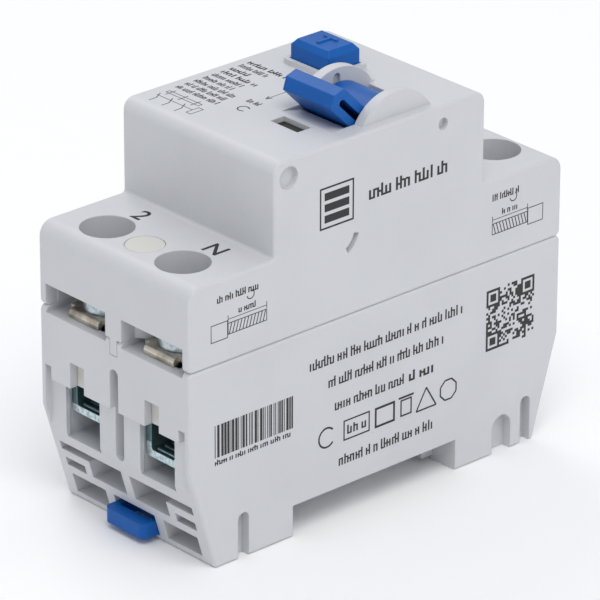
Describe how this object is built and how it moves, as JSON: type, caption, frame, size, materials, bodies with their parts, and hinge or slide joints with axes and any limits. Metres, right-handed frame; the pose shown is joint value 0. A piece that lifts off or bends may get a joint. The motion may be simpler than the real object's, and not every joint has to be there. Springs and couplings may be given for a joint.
{
  "type": "residual current device",
  "caption": "Two-pole residual current device for a 35 mm rail, with toggle, test button, position flag, cage terminals, sprung rail latch and its inner works.",
  "frame": {"origin": "centre of the rail side, on the plane of the feet", "axes": "+X along the body from the load terminals to the line terminals, +Y towards the phase pole, +Z out of the front"},
  "size_m": [0.0802, 0.036, 0.072],
  "materials": {
    "housing": "fine satin moulded thermoplastic, near white",
    "blue": "satin moulded blue thermoplastic",
    "cream": "cream moulded thermoplastic",
    "works_plastic": "dark glass-filled thermoplastic",
    "relay_plastic": "black moulded thermoplastic",
    "flag": "dark grey ribbed plastic",
    "zinc_steel": "blue passivated zinc on steel",
    "dark_zinc": "dark blue-green passivated zinc on steel",
    "nickel": "nickel-plated copper alloy strip",
    "bright_steel": "ground and bare spring steel",
    "copper": "bare copper",
    "silver": "copper finger with a silver alloy contact",
    "iron_core": "wound nanocrystalline ribbon",
    "magnet": "sintered magnet",
    "winding": "enamelled copper wire",
    "board": "green epoxy laminate",
    "components": "black moulded component bodies",
    "resistor": "lacquered resistor body",
    "lead": "PVC insulated thin wire"
  },
  "bodies": {
    "housing": {"base_housing": "housing", "cover_housing": "housing", "case_screws": "zinc_steel", "screw_plugs": "cream", "rail_latch_spring": "bright_steel", "toggle_pin": "bright_steel", "toggle_spring": "bright_steel", "carrier_spring": "bright_steel", "mechanism_frame": "works_plastic", "lever_pins": "bright_steel", "relay_housing": "relay_plastic", "relay_yoke": "nickel", "relay_magnet": "magnet", "relay_coil": "winding", "transformer_core": "iron_core", "transformer_case": "cream", "transformer_winding": "winding", "circuit_board": "board", "board_components": "components", "test_resistor": "resistor", "test_contact_spring": "copper", "test_fixed_contact": "copper", "test_lead": "lead", "secondary_leads": "winding", "terminal_strip_load_phase": "nickel", "terminal_guard_load_phase": "cream", "terminal_strip_load_neutral": "nickel", "terminal_guard_load_neutral": "cream", "terminal_strip_line_phase": "nickel", "terminal_guard_line_phase": "cream", "terminal_strip_line_neutral": "nickel", "terminal_guard_line_neutral": "cream", "fixed_contact_phase": "silver", "contact_braid_phase": "copper", "primary_conductor_phase": "copper", "fixed_contact_neutral": "silver", "contact_braid_neutral": "copper", "primary_conductor_neutral": "copper"},
    "toggle": {"toggle": "blue", "link_pin": "bright_steel"},
    "drive_link": {"drive_link": "works_plastic"},
    "contact_carrier": {"contact_carrier": "works_plastic", "moving_contact_phase": "silver", "moving_contact_neutral": "silver", "contact_springs": "bright_steel"},
    "rail_latch": {"rail_latch": "blue"},
    "test_button": {"test_button": "blue"},
    "position_flag": {"position_flag": "flag"},
    "relay_plunger": {"relay_plunger": "works_plastic"},
    "trip_lever": {"trip_lever": "works_plastic"},
    "latch_lever": {"latch_lever": "works_plastic"},
    "screw_load_phase": {"terminal_screw_load_phase": "zinc_steel"},
    "cage_load_phase": {"terminal_cage_load_phase": "dark_zinc"},
    "screw_load_neutral": {"terminal_screw_load_neutral": "zinc_steel"},
    "cage_load_neutral": {"terminal_cage_load_neutral": "dark_zinc"},
    "screw_line_phase": {"terminal_screw_line_phase": "zinc_steel"},
    "cage_line_phase": {"terminal_cage_line_phase": "dark_zinc"},
    "screw_line_neutral": {"terminal_screw_line_neutral": "zinc_steel"},
    "cage_line_neutral": {"terminal_cage_line_neutral": "dark_zinc"}
  },
  "joints": [
    {"name": "toggle_hinge", "type": "hinge", "parent": "housing", "child": "toggle", "pos_m": [0.00475, -0.00863, 0.06105], "axis": [0, 1, 0], "range_deg": [0, 86.01], "deforming": ["toggle_spring"]},
    {"name": "link_pivot", "type": "hinge", "parent": "toggle", "child": "drive_link", "pos_m": [0.00789, -0.00863, 0.05769], "axis": [0, 1, 0], "range_deg": [-86.5, 0.5]},
    {"name": "contact_slide", "type": "slide", "parent": "housing", "child": "contact_carrier", "axis": [-1, 0, 0], "range_m": [0, 0.00627], "deforming": ["carrier_spring", "contact_braid_phase", "contact_braid_neutral"]},
    {"name": "flag_slide", "type": "slide", "parent": "housing", "child": "position_flag", "axis": [-1, 0, 0], "range_m": [0, 0.0032]},
    {"name": "latch_slide", "type": "slide", "parent": "housing", "child": "rail_latch", "axis": [-1, 0, 0], "range_m": [0, 0.003], "stiffness_N_per_m": 800, "springref_m": -0.0015, "deforming": ["rail_latch_spring"]},
    {"name": "test_press", "type": "slide", "parent": "housing", "child": "test_button", "axis": [0, 0, -1], "range_m": [0, 0.0022], "stiffness_N_per_m": 900, "springref_m": -0.001, "deforming": ["test_contact_spring"]},
    {"name": "relay_slide", "type": "slide", "parent": "housing", "child": "relay_plunger", "axis": [1, 0, 0], "range_m": [0, 0.0015]},
    {"name": "trip_hinge", "type": "hinge", "parent": "housing", "child": "trip_lever", "pos_m": [-0.00505, 0.0086, 0.049], "axis": [0, 1, 0], "range_deg": [0, 22.6]},
    {"name": "latch_hinge", "type": "hinge", "parent": "housing", "child": "latch_lever", "pos_m": [-0.00505, 0.0086, 0.0446], "axis": [0, -1, 0], "range_deg": [0, 8.1]},
    {"name": "turn_load_phase", "type": "hinge", "parent": "housing", "child": "screw_load_phase", "pos_m": [-0.0334, 0.00905, 0.037], "axis": [0, 0, 1], "range_deg": [-1710.05, 540.05]},
    {"name": "lift_load_phase", "type": "slide", "parent": "housing", "child": "cage_load_phase", "axis": [0, 0, 1], "range_m": [-0.0012, 0.0038]},
    {"name": "turn_load_neutral", "type": "hinge", "parent": "housing", "child": "screw_load_neutral", "pos_m": [-0.0334, -0.00905, 0.037], "axis": [0, 0, 1], "range_deg": [-2250.05, 0.05]},
    {"name": "lift_load_neutral", "type": "slide", "parent": "housing", "child": "cage_load_neutral", "axis": [0, 0, 1], "range_m": [0, 0.005]},
    {"name": "turn_line_phase", "type": "hinge", "parent": "housing", "child": "screw_line_phase", "pos_m": [0.0334, 0.00905, 0.037], "axis": [0, 0, 1], "range_deg": [-2250.05, 0.05]},
    {"name": "lift_line_phase", "type": "slide", "parent": "housing", "child": "cage_line_phase", "axis": [0, 0, 1], "range_m": [0, 0.005]},
    {"name": "turn_line_neutral", "type": "hinge", "parent": "housing", "child": "screw_line_neutral", "pos_m": [0.0334, -0.00905, 0.037], "axis": [0, 0, 1], "range_deg": [-2250.05, 0.05]},
    {"name": "lift_line_neutral", "type": "slide", "parent": "housing", "child": "cage_line_neutral", "axis": [0, 0, 1], "range_m": [0, 0.005]}
  ],
  "couplings": [
    {"joint": "toggle_hinge", "follows": "contact_slide", "rad_per_m": 239.22},
    {"joint": "link_pivot", "follows": "contact_slide", "rad_per_m": -239.22},
    {"joint": "flag_slide", "follows": "contact_slide", "ratio": 0.51001},
    {"joint": "trip_hinge", "follows": "relay_slide", "rad_per_m": 261.8},
    {"joint": "latch_hinge", "follows": "relay_slide", "rad_per_m": 93.084},
    {"joint": "turn_load_phase", "follows": "lift_load_phase", "rad_per_m": -7854},
    {"joint": "turn_load_neutral", "follows": "lift_load_neutral", "rad_per_m": -7854},
    {"joint": "turn_line_phase", "follows": "lift_line_phase", "rad_per_m": -7854},
    {"joint": "turn_line_neutral", "follows": "lift_line_neutral", "rad_per_m": -7854}
  ]
}
